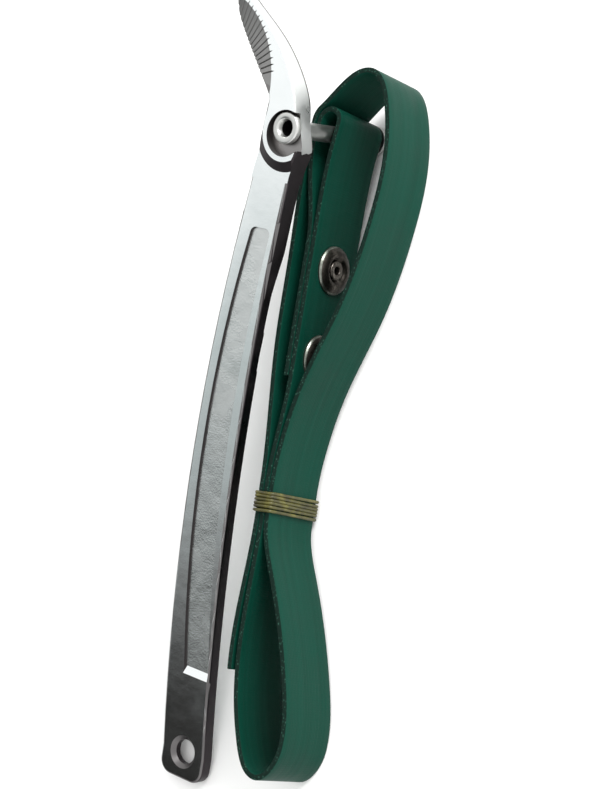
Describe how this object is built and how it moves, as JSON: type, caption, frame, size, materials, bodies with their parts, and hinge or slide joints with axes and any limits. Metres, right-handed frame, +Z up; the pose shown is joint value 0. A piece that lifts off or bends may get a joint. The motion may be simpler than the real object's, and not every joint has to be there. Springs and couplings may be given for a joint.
{
  "type": "oil filter wrench",
  "caption": "Strap-type oil filter wrench: forged chromed handle with a toothed claw, an anchor pin, and a rubber-faced belt folded into a hank and tied with a band.",
  "frame": {"origin": "middle of the footprint on the surface the wrench lies on", "axes": "+Y along the handle from its foot towards the claw, +X from the handle's bar towards the belt, +Z up, out of the handle's front face leaned back by 11 degrees"},
  "size_m": [0.0918, 0.294, 0.0644],
  "materials": {
    "handle": "polished plating on forged steel",
    "pin": "polished plating",
    "belt": "green rubber-faced webbing, satin",
    "rivet_caps": "bronzed steel, satin",
    "rivets": "satin",
    "band": "olive yellow rubber, matte"
  },
  "bodies": {
    "wrench": {"handle": "handle", "anchor_pin": "pin"},
    "strap": {"belt": "belt", "rivet_caps": "rivet_caps", "rivet_tubes": "rivets", "rivet_washers": "rivets", "rubber_band": "band"}
  },
  "joints": [
    {"name": "belt_swing", "type": "hinge", "parent": "wrench", "child": "strap", "pos_m": [-0.0129, 0.10037, 0.05556], "axis": [0, -0.1936, 0.9811], "range_deg": [-4, 335]}
  ]
}
